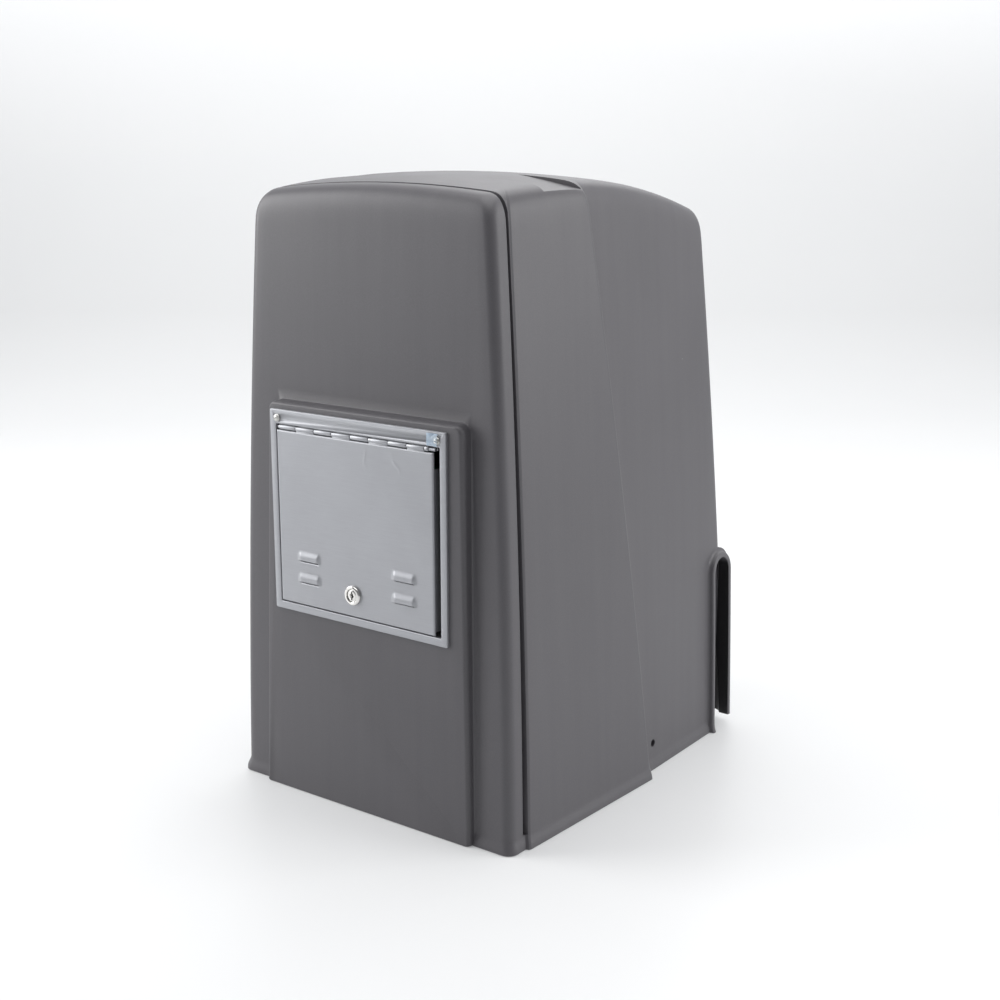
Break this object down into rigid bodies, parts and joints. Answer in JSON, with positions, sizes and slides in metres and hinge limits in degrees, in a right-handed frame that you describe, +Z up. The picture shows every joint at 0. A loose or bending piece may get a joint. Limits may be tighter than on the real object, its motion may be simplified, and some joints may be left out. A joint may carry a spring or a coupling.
{
  "type": "sliding gate motor",
  "caption": "Rack drive for a sliding gate: tapered moulded cover with a hinged, lockable steel service door, over a worm gearbox, motor, pinion and key release on a slotted base.",
  "frame": {"origin": "on the ground plane under the base plate, at the centre of the four foundation slots", "axes": "+Z up; +Y to the rear, along the output shaft towards the pinion and the gate; +X to the right seen from the service door"},
  "size_m": [0.243, 0.3258, 0.4004],
  "materials": {
    "cover_plastic": "satin moulded, fine texture",
    "door_steel": "satin sheet with fine grain",
    "lock_chrome": "polished",
    "zinc_steel": "zinc plated",
    "cast_aluminium": "as cast, bead blasted",
    "gear_steel": "machined and oiled",
    "bearing_steel": "ground",
    "gear_bronze": "machined bronze",
    "black_rubber": "matte",
    "oil_brass": "machined",
    "lamination": "stacked laminations",
    "copper_wire": "varnished winding",
    "black_plastic": "moulded",
    "painted_steel": "semi matte paint",
    "capacitor_case": "smooth",
    "red_plastic": "moulded, fine texture",
    "nylon": "natural",
    "circuit_board": "solder mask",
    "green_plastic": "moulded",
    "transformer_tape": "wrapped tape"
  },
  "bodies": {
    "base": {"base_plate": "zinc_steel", "cable_grommet": "black_rubber", "cover_tabs": "zinc_steel", "base_screws": "zinc_steel", "gearbox_housing": "cast_aluminium", "gearbox_lid": "cast_aluminium", "lid_screws": "zinc_steel", "housing_bolts": "zinc_steel", "output_bearings": "bearing_steel", "output_seal": "black_rubber", "fork_guide_pin": "gear_steel", "oil_plug": "oil_brass", "release_bush": "nylon", "worm_bearings": "bearing_steel", "worm_seal": "black_rubber", "motor_adapter": "cast_aluminium", "adapter_screws": "zinc_steel", "motor_housing": "cast_aluminium", "motor_bolts": "zinc_steel", "stator_core": "lamination", "stator_windings": "copper_wire", "motor_end_shield": "cast_aluminium", "motor_top_bearing": "bearing_steel", "fan_cover": "painted_steel", "run_capacitor": "capacitor_case", "capacitor_clamp": "zinc_steel", "control_bracket": "zinc_steel", "control_board": "circuit_board", "board_spacers": "zinc_steel", "terminal_strips": "green_plastic", "relays": "black_plastic", "board_transformer": "transformer_tape", "fuse_holder": "black_plastic", "mains_terminal": "nylon", "limit_sensor": "black_plastic", "sensor_bracket": "zinc_steel"},
    "output": {"output_shaft": "gear_steel", "pinion": "gear_steel", "pinion_key": "gear_steel", "pinion_washer": "zinc_steel", "pinion_bolt": "zinc_steel"},
    "worm_gear": {"worm_wheel": "gear_bronze"},
    "clutch": {"clutch_ring": "gear_steel"},
    "fork": {"clutch_fork": "gear_steel"},
    "release": {"release_shaft": "gear_steel", "release_cross_pin": "gear_steel", "release_handle": "red_plastic"},
    "rotor": {"worm_shaft": "gear_steel", "rotor_core": "lamination", "cooling_fan": "black_plastic"},
    "cover": {"cover_shell": "cover_plastic", "plate_frame": "door_steel", "plate_screws": "door_steel", "hinge_pin": "door_steel"},
    "door": {"door_flap": "door_steel", "lock_barrel": "lock_chrome", "lock_nut": "lock_chrome"},
    "lock": {"lock_plug": "lock_chrome", "lock_cam": "zinc_steel", "cam_screw": "zinc_steel"}
  },
  "joints": [
    {"name": "cover_lift", "type": "slide", "parent": "base", "child": "cover", "axis": [0, 0, 1], "range_m": [0, 0.36]},
    {"name": "door_hinge", "type": "hinge", "parent": "cover", "child": "door", "pos_m": [0, -0.1462, 0.2445], "axis": [-1, 0, 0], "range_deg": [0, 110]},
    {"name": "lock_turn", "type": "hinge", "parent": "door", "child": "lock", "pos_m": [-0.0034, -0.14, 0.145], "axis": [0, 1, 0], "range_deg": [0, 90]},
    {"name": "release_turn", "type": "hinge", "parent": "base", "child": "release", "pos_m": [0, 0, 0.136], "axis": [0, 1, 0], "range_deg": [0, 90]},
    {"name": "fork_slide", "type": "slide", "parent": "base", "child": "fork", "axis": [0, 1, 0], "range_m": [0, 0.005]},
    {"name": "output_turn", "type": "hinge", "parent": "base", "child": "output", "pos_m": [0, 0, 0.085], "axis": [0, 1, 0], "continuous": true},
    {"name": "clutch_slide", "type": "slide", "parent": "output", "child": "clutch", "axis": [0, 1, 0], "range_m": [0, 0.005]},
    {"name": "wheel_turn", "type": "hinge", "parent": "base", "child": "worm_gear", "pos_m": [0, 0.06, 0.085], "axis": [0, 1, 0], "continuous": true},
    {"name": "rotor_turn", "type": "hinge", "parent": "base", "child": "rotor", "pos_m": [0.05, 0.06, 0.2], "axis": [0, 0, 1], "continuous": true}
  ],
  "couplings": [
    {"joint": "fork_slide", "follows": "release_turn", "m_per_rad": 0.0031831},
    {"joint": "clutch_slide", "follows": "release_turn", "m_per_rad": 0.0031831},
    {"joint": "wheel_turn", "follows": "output_turn", "ratio": 1},
    {"joint": "rotor_turn", "follows": "output_turn", "ratio": 30}
  ]
}
